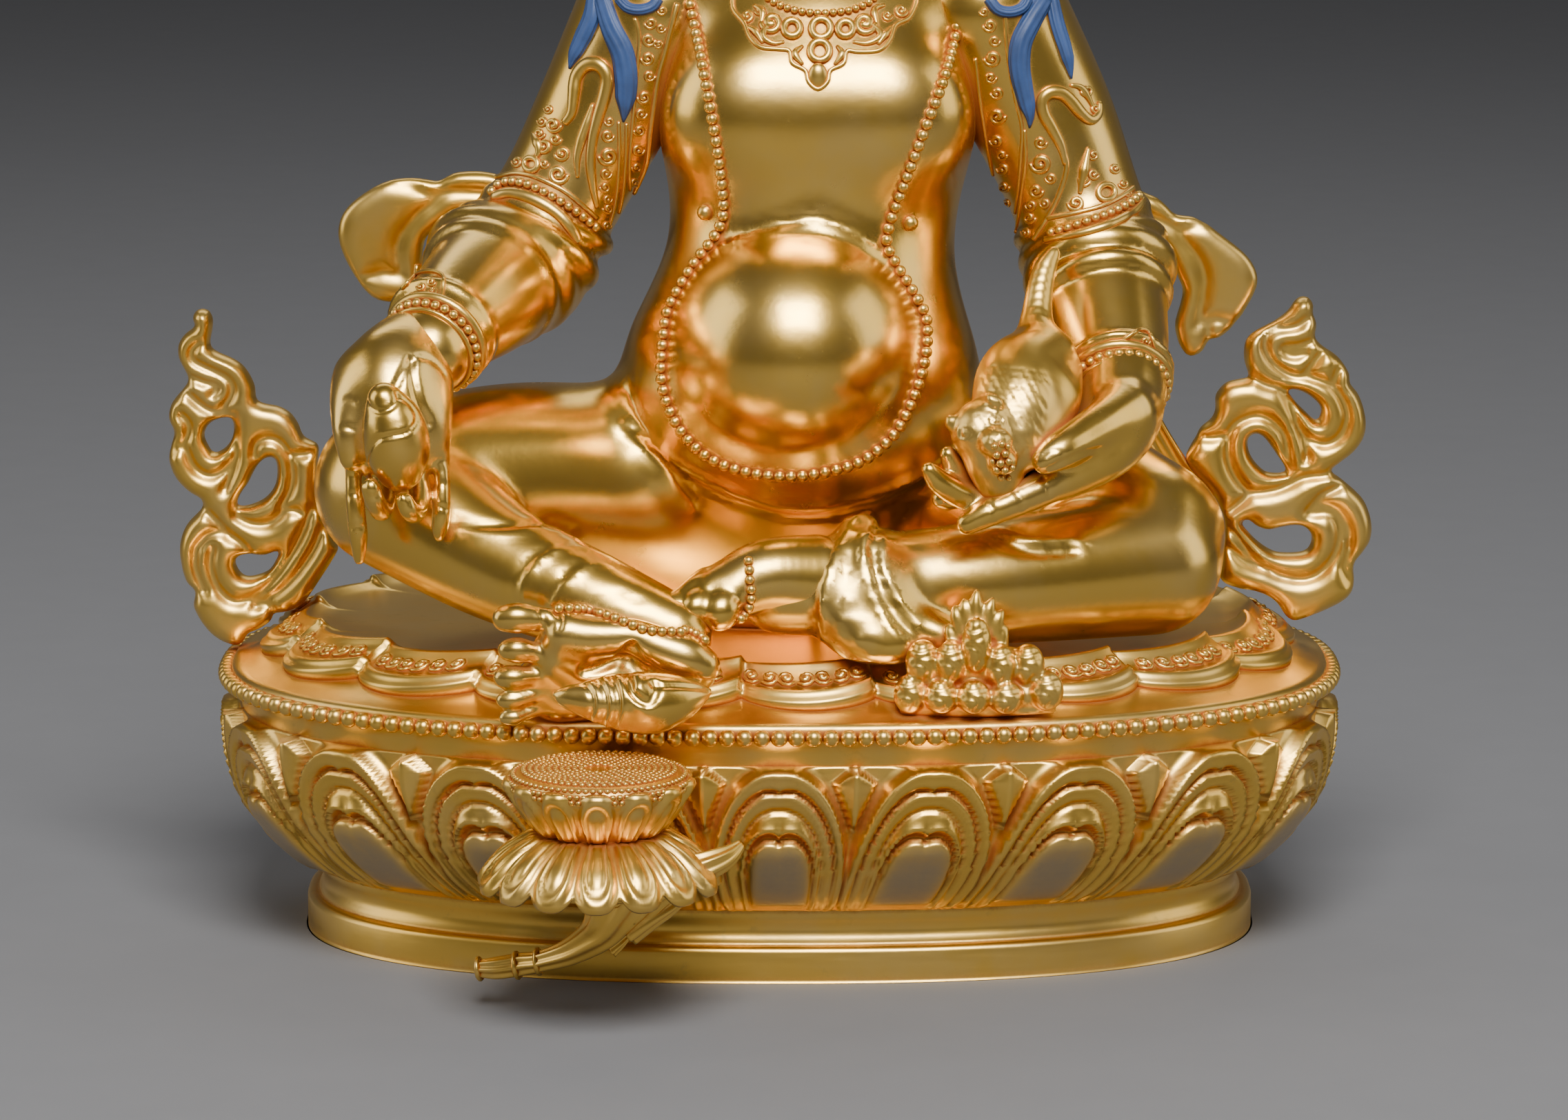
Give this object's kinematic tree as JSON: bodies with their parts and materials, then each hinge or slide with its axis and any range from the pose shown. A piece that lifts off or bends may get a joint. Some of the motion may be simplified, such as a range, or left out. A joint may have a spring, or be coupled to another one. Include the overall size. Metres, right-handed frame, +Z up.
{
  "type": "gilt copper jambhala statue",
  "caption": "Seated Himalayan wealth deity in gilded copper on an oval lotus throne, holding a citron and a jewel-spouting mongoose, with curling scarves.",
  "frame": {"origin": "on the ground, under the middle of the throne", "axes": "+Z up, the figure looks along -Y, its own right hand is at -X"},
  "size_m": [0.2937, 0.2174, 0.3418],
  "materials": {
    "burnished_gilding": "fire gilded copper, burnished on the skin, with orange-red in the recesses",
    "satin_gilding": "fire gilded copper, brushed satin, with orange-red in the recesses",
    "hair_paint": "matt dark blue mineral paint on the locks of hair"
  },
  "bodies": {
    "root": {"lotus_throne": "satin_gilding", "figure": "burnished_gilding", "scarf_right": "satin_gilding", "scarf_left": "satin_gilding", "jewel_heap": "satin_gilding", "foot_lotus": "satin_gilding"}
  },
  "joints": []
}
